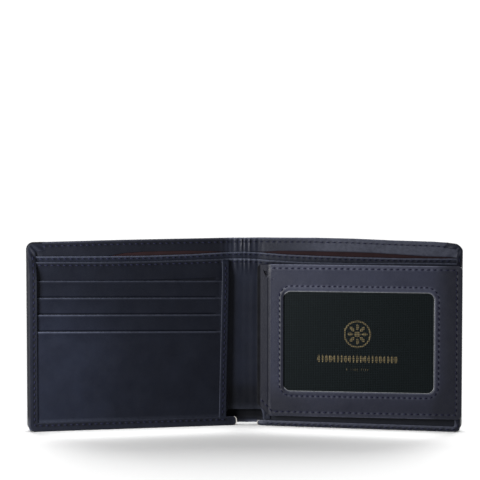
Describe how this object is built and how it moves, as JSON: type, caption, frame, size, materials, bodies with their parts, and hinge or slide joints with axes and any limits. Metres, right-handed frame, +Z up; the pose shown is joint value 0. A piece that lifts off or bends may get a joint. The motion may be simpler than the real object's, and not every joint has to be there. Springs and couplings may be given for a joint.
{
  "type": "folding wallet",
  "caption": "Leather billfold standing open in a V, with card pockets, a full-length note compartment and a hinged leaf with a mesh ID window and slide-in card.",
  "frame": {"origin": "centre of the bounding box in X and Y, at the bottom edge the wallet stands on", "axes": "+X to the right as read, +Y to the back (the spine side), +Z up along the creases"},
  "size_m": [0.2142, 0.0304, 0.093],
  "materials": {
    "shell_leather": "smooth, fine grain, semi-matte",
    "inner_leather": "smooth, fine grain, semi-matte",
    "flap_leather": "smooth, fine grain, semi-matte",
    "lining": "woven, matt",
    "thread": "twisted, slight sheen",
    "window_mesh": "open woven nylon",
    "piping": "smooth",
    "card": "matt, fine texture",
    "foil": "satin"
  },
  "bodies": {
    "right_half": {"bill_divider_right": "inner_leather", "card_pocket_1_right": "inner_leather", "card_pocket_2_right": "inner_leather", "card_pocket_3_right": "inner_leather", "card_pocket_4_right": "inner_leather", "cover_right": "shell_leather", "edge_border_right": "shell_leather", "flap_hinge_root": "flap_leather", "inner_panel_right": "inner_leather", "inner_strip_right": "inner_leather", "lining_right": "lining", "thread_border_right": "thread", "thread_hem_right": "thread", "thread_inner_strip_right": "thread", "thread_panel_top_right": "thread", "top_hem_right": "shell_leather"},
    "spine_right": {"spine_cover_right": "shell_leather", "spine_divider_right": "inner_leather", "spine_lining_right": "lining", "spine_panel_right": "inner_leather", "spine_top_hem_right": "shell_leather"},
    "spine_left": {"spine_cover_left": "shell_leather", "spine_divider_left": "inner_leather", "spine_lining_left": "lining", "spine_panel_left": "inner_leather", "spine_top_hem_left": "shell_leather"},
    "left_half": {"bill_divider_left": "inner_leather", "card_pocket_1_left": "inner_leather", "card_pocket_2_left": "inner_leather", "card_pocket_3_left": "inner_leather", "card_pocket_4_left": "inner_leather", "cover_left": "shell_leather", "edge_border_left": "shell_leather", "inner_panel_left": "inner_leather", "inner_strip_left": "inner_leather", "lining_left": "lining", "thread_border_left": "thread", "thread_hem_left": "thread", "thread_inner_strip_left": "thread", "thread_panel_top_left": "thread", "top_hem_left": "shell_leather"},
    "id_flap": {"flap_back_pocket_1": "inner_leather", "flap_back_pocket_2": "inner_leather", "flap_back_pocket_3": "inner_leather", "flap_base": "flap_leather", "flap_frame": "flap_leather", "flap_hinge_roll": "flap_leather", "thread_flap_outer": "thread", "thread_window": "thread", "window_mesh": "window_mesh", "window_piping": "piping"},
    "id_card": {"id_card": "card", "id_card_foil": "foil"}
  },
  "joints": [
    {"name": "crease_right", "type": "hinge", "parent": "right_half", "child": "spine_right", "pos_m": [0.007, 0.01255, 0.0465], "axis": [0, 0, -1], "range_deg": [-48.5, 11.5]},
    {"name": "crease_middle", "type": "hinge", "parent": "spine_right", "child": "spine_left", "pos_m": [0, 0.01255, 0.0465], "axis": [0, 0, -1], "range_deg": [-60, 0]},
    {"name": "crease_left", "type": "hinge", "parent": "spine_left", "child": "left_half", "pos_m": [-0.007, 0.01255, 0.0465], "axis": [0, 0, -1], "range_deg": [-48.5, 11.5]},
    {"name": "flap_turn", "type": "hinge", "parent": "right_half", "child": "id_flap", "pos_m": [0.00677, 0.00689, 0.043], "axis": [0, 0, -1], "range_deg": [0, 157]},
    {"name": "card_slide", "type": "slide", "parent": "id_flap", "child": "id_card", "axis": [0, 0, 1], "range_m": [0, 0.062]}
  ]
}
